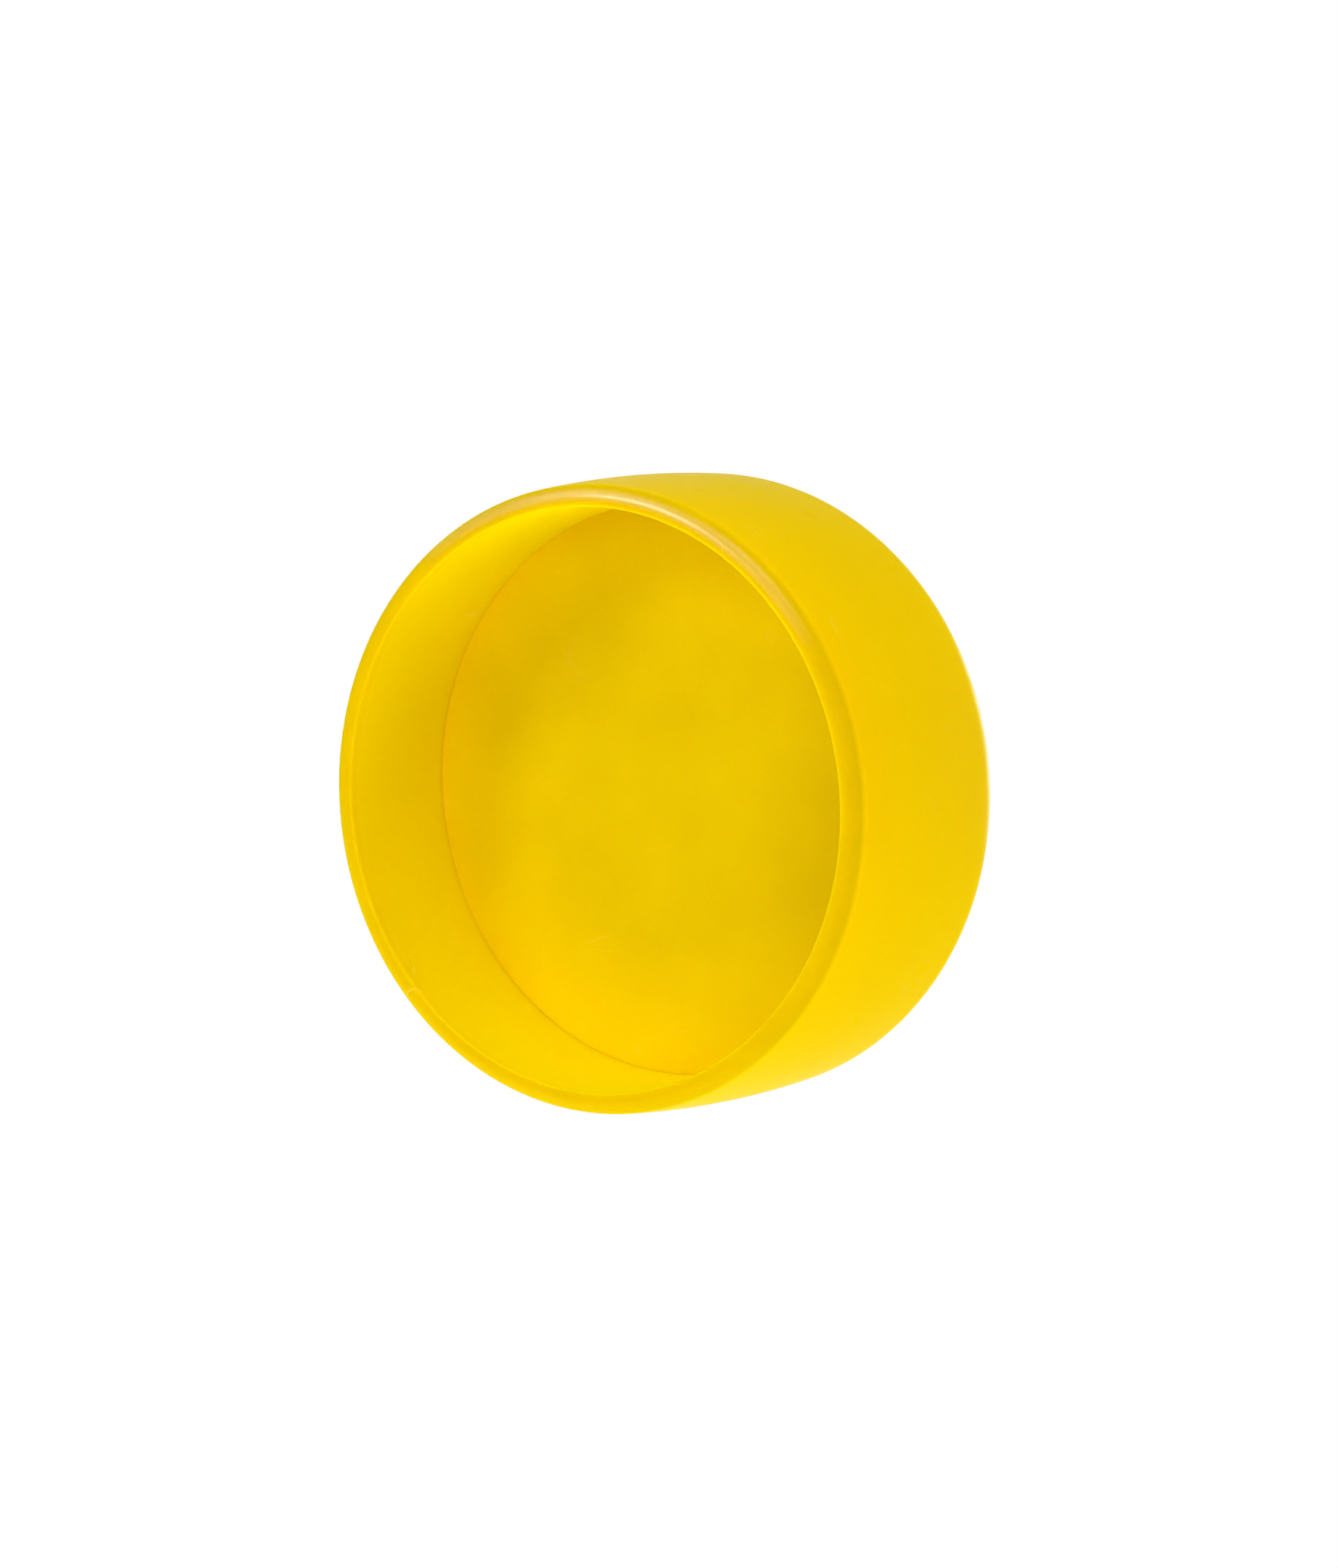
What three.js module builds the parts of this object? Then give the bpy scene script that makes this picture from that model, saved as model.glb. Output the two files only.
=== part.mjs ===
// A round raised pavement marker: a glossy moulded shell, open underneath like a cup, with a cast
// backing set into its closed end. The road is the plane z = 0: the rim of the open mouth stands on
// it, and the crown faces up. The origin is the centre of the mouth. All lengths are millimetres.

import * as THREE from 'three';

// Overall size
const overallDiameter = 100;
const overallHeight = 45;

// Outside of the skirt: a shallow barrel, widest about half way up
const bellyHeight = 21.7;
const bellyRise = 1;

// Crown: a low dome, and the shoulder that rounds it into the skirt
const crownRise = 1.6;
const shoulderRadius = 6.8;

// Walls of the shell, the bore's taper from the rim to the backing, and the bore's inner corner
const rimWall = 3.2;
const crownWall = 3.2;
const boreTaper = 0.2;
const boreCornerRadius = 2.4;

// Rim: both edges are rounded, and the flat ring between them stands on the road
const rimOuterRounding = 2.4;
const rimInnerRounding = 0.3;

// Backing: its thickness at the centre, the rounding of its visible edge, and its gap to the shell
const backingThickness = 16.8;
const backingEdgeRounding = 0.6;
const backingClearance = 0.3;

// Key: a ring groove in the bore, and a bead on the backing that locks in it
const keyInset = 3.4;
const keyHeight = 3;
const keyDepth = 0.9;
const keySlope = 0.6;

// Facets round the axis, and along each curve of a profile, the barrel's two halves each as one
const turnFacets = 72;
const barrelFacets = 5;
const domeFacets = 7;
const shoulderFacets = 7;
const roundingFacets = 5;

// Sizes that follow from the driving dimensions
const bellyRadius = overallDiameter / 2;
const mouthRadius = bellyRadius - bellyRise;
const boreRadius = mouthRadius - rimWall;
const recessDepth = overallHeight - crownWall - backingThickness;
const keyBottom = recessDepth + keyInset;
const keyTop = keyBottom + keyHeight;

// Directions in a profile: x is the distance from the axis and y the height over the road
const upAngle = Math.PI / 2;
const downAngle = -upAngle;
const bellyAngle = 0;

const circle = (centre, radius) => ({ centre, radius });
const shrunk = (round, inset) => circle(round.centre, round.radius - inset);
const angleTo = (centre, point) => Math.atan2(point.y - centre.y, point.x - centre.x);

// Radius of an arc that rises by `rise` over half its chord
const arcRadius = (halfChord, rise) => (halfChord ** 2 + rise ** 2) / (2 * rise);

// Where two circles meet, on the side away from the axis
function circlesMeet(first, second) {
  const between = second.centre.clone().sub(first.centre);
  const span = between.length();
  const along = (first.radius ** 2 - second.radius ** 2 + span ** 2) / (2 * span);
  const aside = Math.sqrt(first.radius ** 2 - along ** 2);
  const direction = between.divideScalar(span);
  const across = new THREE.Vector2(Math.abs(direction.y), -direction.x * Math.sign(direction.y));
  return first.centre.clone().addScaledVector(direction, along).addScaledVector(across, aside);
}

// Where a rising line meets a circle from inside
function lineMeetsCircle(start, direction, round) {
  const away = start.clone().sub(round.centre);
  const back = away.dot(direction);
  const reach = Math.sqrt(back ** 2 - away.lengthSq() + round.radius ** 2) - back;
  return start.clone().addScaledVector(direction, reach);
}

// Where a line is at a given height
function lineAtHeight(start, direction, height) {
  return start.clone().addScaledVector(direction, (height - start.y) / direction.y);
}

// Points along an arc, both ends included
function arcRun(round, startAngle, endAngle, facets) {
  return Array.from({ length: facets + 1 }, (unused, step) => {
    const angle = startAngle + ((endAngle - startAngle) * step) / facets;
    const spoke = new THREE.Vector2(Math.cos(angle), Math.sin(angle));
    return round.centre.clone().addScaledVector(spoke, round.radius);
  });
}

// Points along a dome from its edge to the axis, where the last one lies exactly
function domeRun(dome, edgeAngle) {
  const points = arcRun(dome, edgeAngle, upAngle, domeFacets);
  points.at(-1).x = 0;
  return points;
}

// The outer barrel of the skirt, and the outer dome of the crown
const barrelRadius = arcRadius(bellyHeight, bellyRise);
const barrel = circle(new THREE.Vector2(bellyRadius - barrelRadius, bellyHeight), barrelRadius);
const crownRadius = arcRadius(bellyRadius - shoulderRadius, crownRise);
const crown = circle(new THREE.Vector2(0, overallHeight - crownRadius), crownRadius);

// The bore's wall is a straight line that leans in as it rises
const boreLean = new THREE.Vector2(-boreTaper, recessDepth).normalize();
const boreNormal = new THREE.Vector2(boreLean.y, -boreLean.x);
const boreStart = (offset) => new THREE.Vector2(boreRadius, 0).addScaledVector(boreNormal, offset);
const boreAt = (height, offset) => lineAtHeight(boreStart(offset), boreLean, height);
const boreAngle = angleTo(new THREE.Vector2(), boreNormal);

// The closed end, from the bore's wall over its corner to the axis, drawn `inset` inside the hollow
function closedEndRun(inset) {
  const dome = shrunk(crown, crownWall + inset);
  const radius = boreCornerRadius - inset;
  const centre = lineMeetsCircle(boreStart(-inset - radius), boreLean, shrunk(dome, radius));
  const domeEdge = angleTo(dome.centre, centre);
  return [
    ...arcRun(circle(centre, radius), boreAngle, domeEdge, roundingFacets),
    ...domeRun(dome, domeEdge),
  ];
}

// The key's ring from its lower flank to its upper one, drawn `inset` inside the groove
function keyRun(inset) {
  return [
    boreAt(keyBottom - keySlope + inset, -inset),
    boreAt(keyBottom + inset, keyDepth - inset),
    boreAt(keyTop - inset, keyDepth - inset),
    boreAt(keyTop + keySlope - inset, -inset),
  ];
}

// The rim, from the bore over the flat ring to the foot of the barrel
function rimRun() {
  const innerCentre = boreAt(rimInnerRounding, rimInnerRounding);
  const inner = circle(innerCentre, rimInnerRounding);
  const track = shrunk(barrel, rimOuterRounding);
  const drop = rimOuterRounding - track.centre.y;
  const reach = Math.sqrt(track.radius ** 2 - drop ** 2);
  const outer = circle(new THREE.Vector2(track.centre.x + reach, rimOuterRounding), rimOuterRounding);
  return [
    ...arcRun(inner, boreAngle - Math.PI, downAngle, roundingFacets),
    ...arcRun(outer, downAngle, angleTo(barrel.centre, outer.centre), roundingFacets),
  ];
}

// The outside, from the foot of the barrel over the shoulder and the crown to the axis
function outsideRun(footAngle) {
  const centre = circlesMeet(shrunk(barrel, shoulderRadius), shrunk(crown, shoulderRadius));
  const barrelEdge = angleTo(barrel.centre, centre);
  const crownEdge = angleTo(crown.centre, centre);
  return [
    ...arcRun(barrel, footAngle, bellyAngle, barrelFacets),
    ...arcRun(barrel, bellyAngle, barrelEdge, barrelFacets),
    ...arcRun(circle(centre, shoulderRadius), barrelEdge, crownEdge, shoulderFacets),
    ...domeRun(crown, crownEdge),
  ];
}

// One outline from several runs: where two runs meet in a point, it is kept once
function outline(...runs) {
  const points = runs.flat();
  const sameSpot = overallDiameter / 1e8;
  return points.filter((point, index) => index === 0 || point.distanceTo(points[index - 1]) > sameSpot);
}

// A body turned from its outline about the upright axis
function turned(name, profile, material) {
  const mesh = new THREE.Mesh(new THREE.LatheGeometry(profile, turnFacets).rotateX(upAngle), material);
  mesh.name = name;
  return mesh;
}

// Shell: skirt, rim, shoulder and crown in one moulding of even wall
function outerShell() {
  const rim = rimRun();
  const footAngle = angleTo(barrel.centre, rim.at(-1));
  const inside = [...closedEndRun(0).reverse(), ...keyRun(0).reverse()];
  const plastic = new THREE.MeshStandardMaterial({ color: 0xf2c800, roughness: 0.22, metalness: 0 });
  return turned('outer_shell', outline(inside, rim, outsideRun(footAngle)), plastic);
}

// Backing: a cast disc that fills the closed end, with its flat face as the floor of the recess
function castBacking() {
  const centre = boreAt(recessDepth + backingEdgeRounding, -backingClearance - backingEdgeRounding);
  const edge = arcRun(circle(centre, backingEdgeRounding), downAngle, boreAngle, roundingFacets);
  const face = [new THREE.Vector2(0, recessDepth)];
  const resin = new THREE.MeshStandardMaterial({ color: 0xe4bf00, roughness: 0.3, metalness: 0 });
  const profile = outline(face, edge, keyRun(backingClearance), closedEndRun(backingClearance));
  return turned('cast_backing', profile, resin);
}

const marker = new THREE.Group();
marker.add(outerShell(), castBacking());

export default marker;
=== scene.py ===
# %% [markdown]
# A round raised pavement marker, photographed from its road side.
#
# The real object is a shallow cup of glossy yellow plastic. It is glued mouth down to the road,
# and a cast backing fills the closed end above the adhesive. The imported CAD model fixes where
# everything is, in metres: the road is the plane z = 0 and the crown faces up. This file models
# both pieces again with finer curves, gives them their finish, and looks at them from below, as
# the photograph does.

# %% Load the frame
from math import atan2, ceil, cos, pi, radians, sin, sqrt

import bpy
from mathutils import Matrix, Vector


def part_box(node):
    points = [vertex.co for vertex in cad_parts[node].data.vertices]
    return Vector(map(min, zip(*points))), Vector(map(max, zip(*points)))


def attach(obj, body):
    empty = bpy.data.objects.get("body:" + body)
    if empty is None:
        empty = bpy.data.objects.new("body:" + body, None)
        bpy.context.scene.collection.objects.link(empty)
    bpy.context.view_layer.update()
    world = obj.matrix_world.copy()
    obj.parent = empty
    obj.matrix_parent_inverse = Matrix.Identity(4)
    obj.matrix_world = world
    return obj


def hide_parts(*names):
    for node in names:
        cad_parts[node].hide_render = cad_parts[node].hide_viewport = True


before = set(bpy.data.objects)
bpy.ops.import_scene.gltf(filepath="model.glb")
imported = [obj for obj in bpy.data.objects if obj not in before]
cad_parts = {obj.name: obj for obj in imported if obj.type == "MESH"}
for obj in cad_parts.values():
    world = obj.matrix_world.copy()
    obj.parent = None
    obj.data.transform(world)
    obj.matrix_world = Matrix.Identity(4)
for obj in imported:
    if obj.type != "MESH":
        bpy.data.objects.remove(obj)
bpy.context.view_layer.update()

# %% [markdown]
# The sizes that the frame can tell are read from it. The others are the real ones of the part,
# each under its own name.

# %% Sizes
MM = 0.001

shell_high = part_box("outer_shell")[1]
backing_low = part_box("cast_backing")[0]

belly_radius = shell_high.x
marker_height = shell_high.z
recess_depth = backing_low.z

belly_height = 21.7 * MM
belly_rise = 1.0 * MM
crown_rise = 1.6 * MM
shoulder_radius = 6.8 * MM

rim_wall = 3.2 * MM
crown_wall = 3.2 * MM
bore_taper = 0.2 * MM
bore_corner_radius = 2.4 * MM
rim_outer_rounding = 2.4 * MM
rim_inner_rounding = 0.3 * MM

key_inset = 3.4 * MM
key_height = 3.0 * MM
key_depth = 0.9 * MM
key_slope = 0.6 * MM

mouth_radius = belly_radius - belly_rise
bore_radius = mouth_radius - rim_wall
print("recess depth in mm:", round(recess_depth / MM, 2), "bore radius:", round(bore_radius / MM, 2))

# %% [markdown]
# Both pieces are bodies of revolution. Such a body could be a cylinder with bevelled edges, but
# its skirt is a shallow barrel and its crown a low dome, so each long line of the section is an
# arc. It is quicker to draw half of the section as a chain of vertices and to spin that chain
# once round the axis, as a turner's template would.
#
# The pen starts as a plane merged to one vertex. A straight stretch extrudes the last vertex, and
# a round one spins it about the arc's centre. A section lies in the XZ plane, so a point there is
# a radius and a height.

# %% A pen for sections
ARC_STEP = 0.7 * MM
ARC_TURN = radians(9)
TURN_STEPS = 256
WELD_DISTANCE = 0.001 * MM
SMOOTH_ANGLE = radians(35)


def point(radius, height):
    """A point of a section, in the XZ plane."""
    return Vector((radius, 0, height))


def pen_place():
    """Where the selected vertex of the mesh in edit mode is."""
    mesh = bpy.context.edit_object
    mesh.update_from_editmode()
    return next(v.co.copy() for v in mesh.data.vertices if v.select)


def pen_down(name, start):
    """Starts a section: a new mesh with one selected vertex, left in edit mode."""
    bpy.ops.object.select_all(action="DESELECT")
    bpy.ops.mesh.primitive_plane_add(size=MM)
    bpy.context.object.name = name
    bpy.context.object.data.name = name
    bpy.ops.object.mode_set(mode="EDIT")
    bpy.ops.mesh.select_mode(type="VERT")
    bpy.ops.mesh.merge(type="CENTER")
    bpy.ops.transform.translate(value=start)


def line_to(end):
    """Draws a straight stretch to a point."""
    step = end - pen_place()
    bpy.ops.mesh.extrude_region_move(TRANSFORM_OT_translate={"value": step})


def arc_to(centre, end):
    """Draws a round stretch about a centre, the short way, until it points at the end."""
    spoke = pen_place() - centre
    goal = end - centre
    turn = atan2(goal.z, goal.x) - atan2(spoke.z, spoke.x)
    turn = (turn + pi) % (2 * pi) - pi
    steps = max(ceil(abs(turn) * spoke.length / ARC_STEP), ceil(abs(turn) / ARC_TURN))
    bpy.ops.mesh.spin(steps=steps, angle=turn, center=centre, axis=(0, 1, 0))


def turn_section():
    """Spins the section once round the upright axis and closes it into a body with outward faces."""
    bpy.ops.mesh.select_all(action="SELECT")
    bpy.ops.mesh.spin(steps=TURN_STEPS, angle=2 * pi, center=(0, 0, 0), axis=(0, 0, 1))
    bpy.ops.mesh.select_all(action="SELECT")
    bpy.ops.mesh.remove_doubles(threshold=WELD_DISTANCE)
    bpy.ops.mesh.normals_make_consistent(inside=False)
    bpy.ops.object.mode_set(mode="OBJECT")
    bpy.ops.object.shade_smooth_by_angle(angle=SMOOTH_ANGLE)
    body = bpy.context.object
    print(body.name, "has", len(body.data.polygons), "faces, reaching radius",
          round(max(v.co.x for v in body.data.vertices) / MM, 3), "mm")
    return body


# %% [markdown]
# The arcs of the two sections touch each other, so their centres follow from the sizes by a
# little geometry: an arc that rises by a known amount over half its chord has a known radius,
# and a rounding between two curves has its centre where both, drawn smaller by the rounding's
# radius, meet.

# %% Geometry of the sections
def arc_radius(half_chord, rise):
    """Radius of an arc that rises by rise over half its chord."""
    return (half_chord**2 + rise**2) / (2 * rise)


def toward(centre, through, radius):
    """The point at a radius from a centre, on the way through another point."""
    return centre + (through - centre).normalized() * radius


def circles_meet(first, first_radius, second, second_radius):
    """Where two circles meet, on the side away from the axis."""
    between = second - first
    span = between.length
    along = (first_radius**2 - second_radius**2 + span**2) / (2 * span)
    aside = sqrt(first_radius**2 - along**2)
    direction = between / span
    across = point(abs(direction.z), -direction.x if direction.z > 0 else direction.x)
    return first + direction * along + across * aside


def line_meets_circle(start, direction, centre, radius):
    """Where a rising line meets a circle from inside."""
    away = start - centre
    back = away.dot(direction)
    return start + direction * (sqrt(back**2 - away.length_squared + radius**2) - back)


barrel_radius = arc_radius(belly_height, belly_rise)
barrel_centre = point(belly_radius - barrel_radius, belly_height)
crown_radius = arc_radius(belly_radius - shoulder_radius, crown_rise)
crown_centre = point(0, marker_height - crown_radius)

bore_up = point(-bore_taper, recess_depth).normalized()
bore_out = point(bore_up.z, -bore_up.x)


def bore_at(height, offset=0):
    """The point of the bore's wall at a height, moved outwards by an offset."""
    start = point(bore_radius, 0) + bore_out * offset
    return start + bore_up * ((height - start.z) / bore_up.z)


print("barrel radius in mm:", round(barrel_radius / MM, 1), "crown radius:", round(crown_radius / MM, 1))

# %% [markdown]
# The shell is one moulding: a skirt about 3 mm thick, a rim with both its edges rounded, a
# shoulder and a low crown. Its section starts on the axis under the crown, runs down the bore
# past the groove that keys the backing, round the rim, and up the outside back to the axis.

# %% Model the shell
key_bottom = recess_depth + key_inset
key_top = key_bottom + key_height


def draw_closed_end(inset):
    """Draws the closed end from the axis to the bore's wall, inset inside the hollow."""
    dome_radius = crown_radius - crown_wall - inset
    corner = bore_corner_radius - inset
    start = bore_at(0, -inset - corner)
    centre = line_meets_circle(start, bore_up, crown_centre, dome_radius - corner)
    arc_to(crown_centre, toward(crown_centre, centre, dome_radius))
    arc_to(centre, centre + bore_out * corner)


def draw_key(inset):
    """Draws the key's ring downwards, inset inside the groove."""
    line_to(bore_at(key_top + key_slope - inset, -inset))
    line_to(bore_at(key_top - inset, key_depth - inset))
    line_to(bore_at(key_bottom + inset, key_depth - inset))
    line_to(bore_at(key_bottom - key_slope + inset, -inset))


def model_shell():
    pen_down("shell", point(0, marker_height - crown_wall))
    draw_closed_end(0)
    draw_key(0)

    inner = bore_at(rim_inner_rounding, rim_inner_rounding)
    line_to(inner - bore_out * rim_inner_rounding)
    arc_to(inner, inner - point(0, rim_inner_rounding))

    track = barrel_radius - rim_outer_rounding
    drop = rim_outer_rounding - barrel_centre.z
    outer = point(barrel_centre.x + sqrt(track**2 - drop**2), rim_outer_rounding)
    line_to(outer - point(0, rim_outer_rounding))
    arc_to(outer, toward(outer, outer * 2 - barrel_centre, rim_outer_rounding))

    shoulder = circles_meet(
        barrel_centre, barrel_radius - shoulder_radius,
        crown_centre, crown_radius - shoulder_radius,
    )
    arc_to(barrel_centre, point(belly_radius, belly_height))
    arc_to(barrel_centre, shoulder)
    arc_to(shoulder, toward(shoulder, shoulder * 2 - crown_centre, shoulder_radius))
    arc_to(crown_centre, point(0, marker_height))
    bpy.ops.transform.translate(value=point(0, marker_height) - pen_place())
    return turn_section()


shell = model_shell()

# %% [markdown]
# The backing is resin, poured into the upturned shell. It fills the closed end and the groove, so
# it can't come out once it has set. It levels itself, so the floor of the recess is flat, and it
# draws in by about a hundredth of a millimetre as it cures.

# %% Model the backing
backing_clearance = 0.01 * MM


def model_backing():
    pen_down("backing", point(0, marker_height - crown_wall - backing_clearance))
    draw_closed_end(backing_clearance)
    draw_key(backing_clearance)
    line_to(bore_at(recess_depth, -backing_clearance))
    line_to(point(0, recess_depth))
    return turn_section()


backing = model_backing()

# %% [markdown]
# Every finish is made of shader nodes, so some helpers come first. One turns an sRGB colour, as
# a picture program shows it, into the linear values that Blender calculates with. Another adds a
# node with its settings, and links or sets its sockets. The rest are short names for the few
# steps that the finishes repeat: arithmetic, a ramp, a mix of two colours, clouds of a size, values
# that drift with them, and waves.

# %% Helpers for materials
WHITE = (1, 1, 1, 1)
NOISE_MIDDLE = 0.5
CLOUD_SPREAD = 0.15
GRAIN_SPREAD = 0.2
GRAIN_DETAIL = 4.0


def colour(hex_code):
    """An sRGB hex colour as linear red, green, blue and alpha."""
    parts = [int(hex_code[start:start + 2], 16) / 255 for start in (1, 3, 5)]
    linear = [p / 12.92 if p <= 0.04045 else ((p + 0.055) / 1.055) ** 2.4 for p in parts]
    return (*linear, 1)


def add_node(tree, kind, sockets=None, **settings):
    """Adds a node. A socket's value is a number, a colour, or the output that feeds it."""
    node = tree.nodes.new(kind)
    for name, value in settings.items():
        setattr(node, name, value)
    for name, value in (sockets or {}).items():
        if isinstance(value, bpy.types.NodeSocket):
            tree.links.new(value, node.inputs[name])
        else:
            node.inputs[name].default_value = value
    return node


def new_material(name):
    """A material with an empty node tree, and that tree."""
    material = bpy.data.materials.new(name)
    material.use_nodes = True
    material.node_tree.nodes.clear()
    return material, material.node_tree


def maths(tree, operation, first, second=0.0):
    """One step of arithmetic between two values."""
    return add_node(tree, "ShaderNodeMath", {0: first, 1: second}, operation=operation).outputs[0]


def ramp(tree, value, low, high, start=0.0, end=1.0):
    """A value that goes from start to end while another goes from low to high."""
    sockets = {"Value": value, "From Min": low, "From Max": high, "To Min": start, "To Max": end}
    return add_node(tree, "ShaderNodeMapRange", sockets).outputs["Result"]


def blend(tree, factor, first, second):
    """A mix of two colours."""
    sockets = {"Factor": factor, "A": first, "B": second}
    return add_node(tree, "ShaderNodeMix", sockets, data_type="RGBA").outputs["Result"]


def clouds(tree, place, size, detail=2.0):
    """Noise whose lumps are about as large as the size."""
    sockets = {"Vector": place, "Scale": 1 / size, "Detail": detail}
    return add_node(tree, "ShaderNodeTexNoise", sockets).outputs["Fac"]


def drift(tree, place, size, start, end):
    """A value that drifts between start and end over soft clouds."""
    low, high = NOISE_MIDDLE - CLOUD_SPREAD, NOISE_MIDDLE + CLOUD_SPREAD
    return ramp(tree, clouds(tree, place, size), low, high, start, end)


def grain(tree, place, size, start, end):
    """A value that drifts between start and end over clouds with finer ones in them."""
    low, high = NOISE_MIDDLE - GRAIN_SPREAD, NOISE_MIDDLE + GRAIN_SPREAD
    return ramp(tree, clouds(tree, place, size, GRAIN_DETAIL), low, high, start, end)


def waves(tree, place, width, height):
    """A surface that is wavy by a height, over a width."""
    sockets = {"Height": clouds(tree, place, width), "Distance": height, "Strength": 1.0}
    return add_node(tree, "ShaderNodeBump", sockets).outputs["Normal"]


def place_of(tree):
    """Position on the piece, its height over the road and its distance from the axis."""
    place = add_node(tree, "ShaderNodeTexCoord").outputs["Object"]
    axes = add_node(tree, "ShaderNodeSeparateXYZ", {"Vector": place}).outputs
    flat = add_node(tree, "ShaderNodeCombineXYZ", {"X": axes["X"], "Y": axes["Y"]}).outputs["Vector"]
    radius = add_node(tree, "ShaderNodeVectorMath", {0: flat}, operation="LENGTH").outputs["Value"]
    return place, axes["Z"], radius


# %% [markdown]
# Handling leaves hair-thin scratches that show paler than the pigment. They are the places where
# stretched noise crosses its middle value, so each is a line, and they come only in patches.

# %% Scratches
SCRATCH_TONE = colour("#FFE070")
SMOOTH_DETAIL = 0.0
HAIR_WIDTH = 0.006
PATCH_EDGE = 0.06


def scratch(tree, tint, place, stretch, length, patch_size, patch_level, strength):
    """A tint with scratches drawn out along the axes by their stretch, where patches reach a level."""
    drawn = add_node(tree, "ShaderNodeMapping", {"Vector": place, "Scale": stretch}).outputs["Vector"]
    from_middle = maths(tree, "SUBTRACT", clouds(tree, drawn, length, SMOOTH_DETAIL), NOISE_MIDDLE)
    hairs = ramp(tree, maths(tree, "ABSOLUTE", from_middle), HAIR_WIDTH, 0.0)
    patches = ramp(tree, clouds(tree, place, patch_size), patch_level, patch_level + PATCH_EDGE)
    amount = maths(tree, "MULTIPLY", maths(tree, "MULTIPLY", hairs, patches), strength)
    return blend(tree, amount, tint, SCRATCH_TONE)


# %% [markdown]
# Both pieces are translucent. Light goes some millimetres into the plastic and comes out again
# elsewhere, which softens every shadow edge. The pigment swallows blue at once, so blue hardly
# travels. Shell and backing are bonded, and light crosses from one into the other, but the shader
# stops at each mesh. So the faces that touch in the joint, which nobody sees, glow a little and
# stand for the light that crosses.

# %% Light inside the plastic
LIGHT_DEPTH = 3 * MM
LIGHT_SPREAD = (1.0, 0.9, 0.1)
JOINT_GLOW = 0.3
JOINT_TONE = colour("#E4BE00")


def translucent(tree, joint, surface):
    """The shader of both pieces, which glows where joint is 1. Its surface sockets are given."""
    shader = add_node(tree, "ShaderNodeBsdfPrincipled", {
        **surface,
        "Subsurface Weight": 1.0,
        "Subsurface Radius": LIGHT_SPREAD,
        "Subsurface Scale": LIGHT_DEPTH,
        "Emission Color": JOINT_TONE,
        "Emission Strength": maths(tree, "MULTIPLY", joint, JOINT_GLOW),
    }, subsurface_method="RANDOM_WALK")
    add_node(tree, "ShaderNodeOutputMaterial", {"Surface": shader.outputs["BSDF"]})


# %% [markdown]
# The shell's plastic is a yellow moulding compound, such as pigmented acrylic. The photograph
# shows hardly any reflection on it, so its specular level is kept very low and the eye sees an
# even, saturated yellow. The one exception is a clean highlight on the rim's outer rounding, at
# the upper right of the picture. One polished stretch of the rounding, given by its direction
# from the axis and its reach to both sides, makes that highlight.
#
# The rim catches more light than the walls beside it, yet it looks as deep as they do, so its
# tone is painted deeper: painted shade, a little weaker on its inner edge.

# %% Finish of the shell
ACRYLIC_IOR = 1.49
DULL_SPECULAR = 0.002
POLISHED_SPECULAR = 0.5
POLISH_AZIMUTH = radians(-72)
POLISH_REACH = radians(50)
POLISH_SMOOTHNESS = 0.1

SKIRT_TONE = colour("#ECC200")
# The bore's tone is painted light: greener, to cancel the warmer colour of light bounced inside the cup.
BORE_BOUNCE_CANCEL_TONE = colour("#E0C600")
# The rim's tone is painted shade: deeper, because the rim catches more light than the walls.
RIM_SHADE_TONE = colour("#CDAB00")
PALE_TONE = colour("#F0CC00")
PALE_AMOUNT = 0.14
INNER_EDGE_SHADE_AMOUNT = 0.6


def rim_masks(tree, place, height, radius):
    """1 where painted shade darkens the rim, less on its inner edge, and 1 on the polished stretch of its
    rounding.
    """
    skirt_starts, rim_ends = 0.9 * rim_outer_rounding, 0.5 * rim_outer_rounding
    near_rim = ramp(tree, height, skirt_starts, rim_ends)
    outside_bore = ramp(tree, radius, bore_radius - 0.05 * MM, bore_radius + 0.1 * MM)
    # Painted shade on the rim's inner rounding, at part of the rim's strength
    bore_starts, edge_ends = 1.2 * rim_inner_rounding, 0.6 * rim_inner_rounding
    inner_edge_shade = ramp(tree, height, bore_starts, edge_ends, 0.0, INNER_EDGE_SHADE_AMOUNT)
    rim_shade = maths(tree, "MAXIMUM", inner_edge_shade, maths(tree, "MULTIPLY", near_rim, outside_bore))

    # Across the rounding, the polish starts at the flat ring and ends before the skirt
    flat_edge = mouth_radius - rim_outer_rounding
    past_flat = ramp(tree, radius, flat_edge, flat_edge + 0.2 * rim_outer_rounding)
    polish_ends = mouth_radius - 0.15 * rim_outer_rounding
    full_polish_ends = mouth_radius - 0.4 * rim_outer_rounding
    before_skirt = ramp(tree, radius, polish_ends, full_polish_ends)
    across = maths(tree, "MULTIPLY", past_flat, before_skirt)

    # Along the rounding, it fades out on both sides of its middle
    outwards = add_node(tree, "ShaderNodeVectorMath", {0: place}, operation="NORMALIZE").outputs["Vector"]
    middle = (cos(POLISH_AZIMUTH), sin(POLISH_AZIMUTH), 0)
    sockets = {0: outwards, 1: middle}
    along = add_node(tree, "ShaderNodeVectorMath", sockets, operation="DOT_PRODUCT").outputs["Value"]
    stretch = ramp(tree, along, cos(POLISH_REACH), cos(POLISH_REACH / 2))
    polished = maths(tree, "MULTIPLY", maths(tree, "MULTIPLY", near_rim, across), stretch)
    return rim_shade, polished


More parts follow.
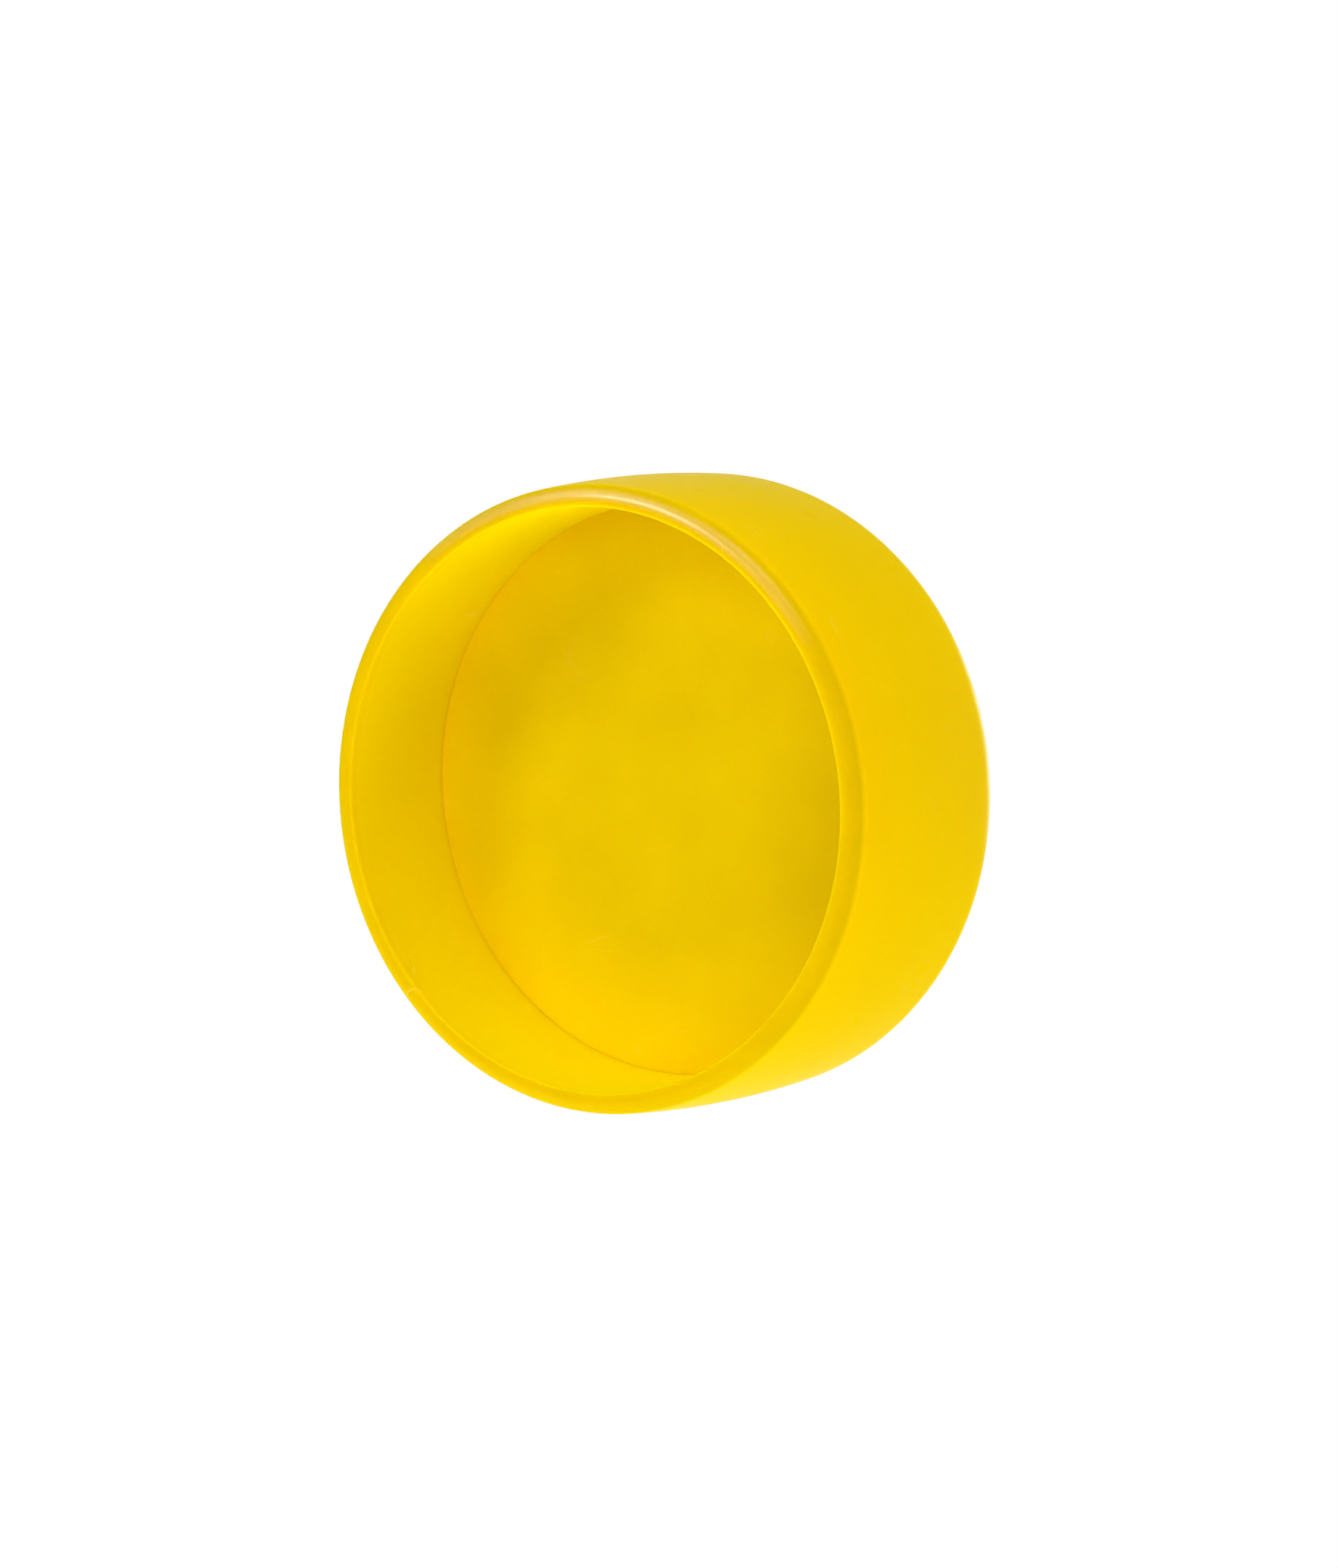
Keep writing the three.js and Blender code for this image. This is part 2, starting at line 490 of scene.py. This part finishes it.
def moulded_plastic():
    material, tree = new_material("pigmented_acrylic_moulded")
    place, height, radius = place_of(tree)
    rim_shade, polished = rim_masks(tree, place, height, radius)

    # The pigment's tone: painted greener in the bore against the warmth of bounced light, painted shade
    # on the rim, and faintly clouded
    in_bore = ramp(tree, radius, bore_radius + rim_wall / 2, bore_radius)
    below_crown = ramp(tree, height, marker_height - crown_wall, recess_depth)
    # Painted light: the bore is tinted greener against the warm colour that bounced light gives it
    tint = blend(tree, maths(tree, "MULTIPLY", in_bore, below_crown), SKIRT_TONE, BORE_BOUNCE_CANCEL_TONE)
    # Painted shade: the rim is darkened, because it catches more light than the walls beside it
    tint = blend(tree, rim_shade, tint, RIM_SHADE_TONE)
    cloudy = drift(tree, place, size=22 * MM, start=0.0, end=PALE_AMOUNT)
    tint = blend(tree, cloudy, tint, PALE_TONE)
    tint = scratch(
        tree, tint, place, stretch=(1.0, 1.0, 9.0), length=30 * MM,
        patch_size=15 * MM, patch_level=0.56, strength=0.15,
    )

    # The mould's skin: its roughness wanders, and waves 3 mm wide and 0.01 mm high cross it
    rough = grain(tree, place, size=7 * MM, start=0.26, end=0.36)
    rough = maths(tree, "SUBTRACT", rough, maths(tree, "MULTIPLY", polished, POLISH_SMOOTHNESS))

    # The joint: from the recess floor up, all that lies inside the groove and under the crown
    past_groove = maths(tree, "GREATER_THAN", radius, bore_radius + key_depth)
    past_cavity = maths(tree, "GREATER_THAN", height, marker_height - crown_wall)
    hidden = maths(tree, "SUBTRACT", 1.0, maths(tree, "MAXIMUM", past_groove, past_cavity))
    joint = maths(tree, "MULTIPLY", hidden, maths(tree, "GREATER_THAN", height, recess_depth))

    translucent(tree, joint, {
        "Base Color": tint,
        "Roughness": rough,
        "IOR": ACRYLIC_IOR,
        "Specular IOR Level": ramp(tree, polished, 0.0, 1.0, DULL_SPECULAR, POLISHED_SPECULAR),
        "Normal": waves(tree, place, width=3 * MM, height=0.01 * MM),
    })
    return material


# %% [markdown]
# The backing is cast polyester resin in the same yellow. Poured resin levels itself, so its face
# is smooth, but the pigment settles unevenly and leaves soft clouds some centimetres wide. The
# walls shade the face at its edge, yet it looks nearly even, so painted light makes its tone
# paler towards the wall.

# %% Finish of the backing
RESIN_IOR = 1.52
RESIN_SPECULAR = 0.01

RESIN_TONE = colour("#DDBF00")
RESIN_CLOUD_TONE = colour("#E5C700")
# Painted light: a paler tone towards the wall, against the shade that the walls cast on the face.
RESIN_PAINTED_LIGHT_TONE = colour("#F0D000")
RESIN_PAINTED_LIGHT_AMOUNT = 0.25
RESIN_PAINTED_LIGHT_START = 0.55


def cast_resin():
    material, tree = new_material("pigmented_polyester_cast")
    place, height, radius = place_of(tree)
    swirl = drift(tree, place, size=26 * MM, start=0.0, end=1.0)
    tint = blend(tree, swirl, RESIN_TONE, RESIN_CLOUD_TONE)
    # Painted light: paler towards the wall, to even out the walls' shade on the face's edge
    painted_light_near_wall = ramp(tree, radius, RESIN_PAINTED_LIGHT_START * bore_radius, bore_radius, 0.0, RESIN_PAINTED_LIGHT_AMOUNT)
    tint = blend(tree, painted_light_near_wall, tint, RESIN_PAINTED_LIGHT_TONE)
    tint = scratch(
        tree, tint, place, stretch=(1.0, 7.0, 1.0), length=34 * MM,
        patch_size=12 * MM, patch_level=0.58, strength=0.2,
    )

    # The joint: all that lies behind the face
    joint = maths(tree, "GREATER_THAN", height, recess_depth + backing_clearance)

    translucent(tree, joint, {
        "Base Color": tint,
        "Roughness": grain(tree, place, size=9 * MM, start=0.3, end=0.42),
        "IOR": RESIN_IOR,
        "Specular IOR Level": RESIN_SPECULAR,
        "Normal": waves(tree, place, width=12 * MM, height=0.08 * MM),
    })
    return material


# %% [markdown]
# Each piece stands for the CAD node of the same shape and rides on the part's one body.

# %% Dress the part
for piece, material, node, slot in (
    (shell, moulded_plastic(), "outer_shell", "shell_plastic"),
    (backing, cast_resin(), "cast_backing", "backing_resin"),
):
    piece.data.materials.append(material)
    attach(piece, "root")
    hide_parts(node)
    print(piece.name, "replaces", node, "with", material.name)

# %% [markdown]
# The photograph looks into the mouth from below. The camera's place follows from the picture:
# how far the marker's axis is turned off the line of sight, how the axis lies in the picture,
# how large the mouth is there, and how strongly the far end shrinks, which gives the distance.

# %% Camera
PICTURE_WIDTH = 1768
PICTURE_HEIGHT = 2072
mouth_pixel = Vector((778.4, 1058.6))
mouth_radius_pixels = 416.7
view_angle = radians(34.38)
axis_slope = radians(8.02)
camera_distance = 1.0585

pixel = mouth_radius / mouth_radius_pixels
to_camera = Vector((sin(view_angle), 0, -cos(view_angle)))
level = Vector((cos(view_angle), 0, sin(view_angle)))
upright = Vector((0, -1, 0))
picture_right = level * cos(axis_slope) - upright * sin(axis_slope)
picture_up = level * sin(axis_slope) + upright * cos(axis_slope)

camera_place = to_camera * camera_distance
aim_right = (PICTURE_WIDTH / 2 - mouth_pixel.x) * pixel
aim_up = (mouth_pixel.y - PICTURE_HEIGHT / 2) * pixel
aim = picture_right * aim_right + picture_up * aim_up

camera_data = bpy.data.cameras.new("camera")
camera_data.lens = camera_data.sensor_width * camera_distance / (PICTURE_HEIGHT * pixel)
camera = bpy.data.objects.new("camera", camera_data)
back = (camera_place - aim).normalized()
right = picture_up.cross(back).normalized()
turned = Matrix((right, back.cross(right), back)).transposed()
camera.matrix_world = Matrix.Translation(camera_place) @ turned.to_4x4()
bpy.context.scene.collection.objects.link(camera)
bpy.context.scene.camera = camera
bpy.context.scene.view_settings.view_transform = "Standard"
print("lens in mm:", round(camera_data.lens, 1))

# %% [markdown]
# Plain soft studio light. A lamp's place is given as seen from the camera, as a photographer
# would say it: so far to the right, so far up, and so far towards the camera. The strongest lamps
# stand low, because the photograph is brightest along its lower edge, and those in front keep the
# inside of the mouth even. The key lamp is smaller, and gives the highlight on the rim. The lamp
# over the crown lights what only the other views see.

# %% Lamps
LAMP_DISTANCE = 1.2
SOFT_BOX_SIZE = 0.7


def soft_box(name, side, rise, front, power, size=SOFT_BOX_SIZE):
    """A round soft box that looks at the marker. Its size is in metres and its power in watts."""
    direction = (picture_right * side + picture_up * rise + to_camera * front).normalized()
    data = bpy.data.lights.new(name, "AREA")
    data.shape = "DISK"
    data.size = size
    data.energy = power
    lamp = bpy.data.objects.new(name, data)
    turned_to_marker = direction.to_track_quat("Z", "Y").to_matrix().to_4x4()
    lamp.matrix_world = Matrix.Translation(direction * LAMP_DISTANCE) @ turned_to_marker
    bpy.context.scene.collection.objects.link(lamp)
    print(name, "stands at", [round(c, 2) for c in lamp.location])


soft_box("front", side=0, rise=0, front=1, power=3.5)
soft_box("low_front", side=0, rise=-0.7, front=0.7, power=1.5)
soft_box("into_mouth", side=-0.44, rise=0, front=0.9, power=2.5)
soft_box("front_right", side=0.44, rise=0, front=0.9, power=2.5)
soft_box("key", side=-0.78, rise=0.42, front=0.45, power=4, size=0.4)
soft_box("top", side=0, rise=0.8, front=0.6, power=5.5, size=0.8)
soft_box("below", side=0, rise=-0.98, front=0.2, power=8.5)
soft_box("right", side=0.98, rise=0, front=0.2, power=4.5)
soft_box("low_left", side=-0.69, rise=-0.69, front=-0.2, power=7)
soft_box("high_left", side=-0.69, rise=0.69, front=0.2, power=2)
soft_box("over_crown", side=0.56, rise=0.08, front=-0.82, power=7, size=0.4)

# %% [markdown]
# The page is white. The camera, reflections and light through clear things see the world as
# white, and everything else gets only a faint even light from it.

# %% World
AMBIENT = 0.2

world = bpy.data.worlds.new("studio")
bpy.context.scene.world = world
world.use_nodes = True
sky = world.node_tree
sky.nodes.clear()
path = add_node(sky, "ShaderNodeLightPath").outputs
seen = maths(sky, "MAXIMUM", path["Is Camera Ray"], path["Is Glossy Ray"])
seen = maths(sky, "MAXIMUM", seen, path["Is Transmission Ray"])
ambient = add_node(sky, "ShaderNodeBackground", {"Color": WHITE, "Strength": AMBIENT}).outputs[0]
white = add_node(sky, "ShaderNodeBackground", {"Color": WHITE, "Strength": 1.0}).outputs[0]
mixed = add_node(sky, "ShaderNodeMixShader", {0: seen, 1: ambient, 2: white}).outputs[0]
add_node(sky, "ShaderNodeOutputWorld", {"Surface": mixed})
print("the world's ambient strength:", AMBIENT)

# %% [markdown]
# The floor is the road plane. The photograph looks at the marker from under that plane, so the
# floor is clear from below, where the page stays white, and lets the lamps' light through. Seen
# from above it is pale, partly by a glow of its own, takes the marker's shadow, and fades to
# white with distance.

# %% Floor
FLOOR_RADIUS = 3.0
FLOOR_STEPS = 96
FLOOR_DROP = 0.02 * MM
FLOOR_GLOW = 0.6
FADE_START = 0.15
FADE_END = 0.7
PAPER_TONE = colour("#F2F2F2")


def floor_finish():
    material, tree = new_material("floor_paper")
    distance = place_of(tree)[2]
    fade = add_node(tree, "ShaderNodeMapRange", {
        "Value": distance, "From Min": FADE_START, "From Max": FADE_END,
    }, interpolation_type="SMOOTHSTEP").outputs["Result"]
    matt = add_node(tree, "ShaderNodeBsdfDiffuse", {"Color": PAPER_TONE}).outputs[0]
    glow = add_node(tree, "ShaderNodeEmission", {"Color": WHITE}).outputs[0]
    lit = add_node(tree, "ShaderNodeMixShader", {0: FLOOR_GLOW, 1: matt, 2: glow}).outputs[0]
    paper = add_node(tree, "ShaderNodeMixShader", {0: fade, 1: lit, 2: glow}).outputs[0]
    clear = add_node(tree, "ShaderNodeBsdfTransparent").outputs[0]
    below = add_node(tree, "ShaderNodeNewGeometry").outputs["Backfacing"]
    shown = add_node(tree, "ShaderNodeMixShader", {0: below, 1: paper, 2: clear}).outputs[0]
    add_node(tree, "ShaderNodeOutputMaterial", {"Surface": shown})
    return material


bpy.ops.object.select_all(action="DESELECT")
bpy.ops.mesh.primitive_circle_add(
    vertices=FLOOR_STEPS, radius=FLOOR_RADIUS, fill_type="NGON", location=(0, 0, -FLOOR_DROP)
)
floor = bpy.context.object
floor.name = "floor"
floor.data.materials.append(floor_finish())
floor.visible_diffuse = False
floor.visible_glossy = False
floor.visible_transmission = False
floor.visible_shadow = False
print("the floor reaches", FLOOR_RADIUS, "m from the axis")
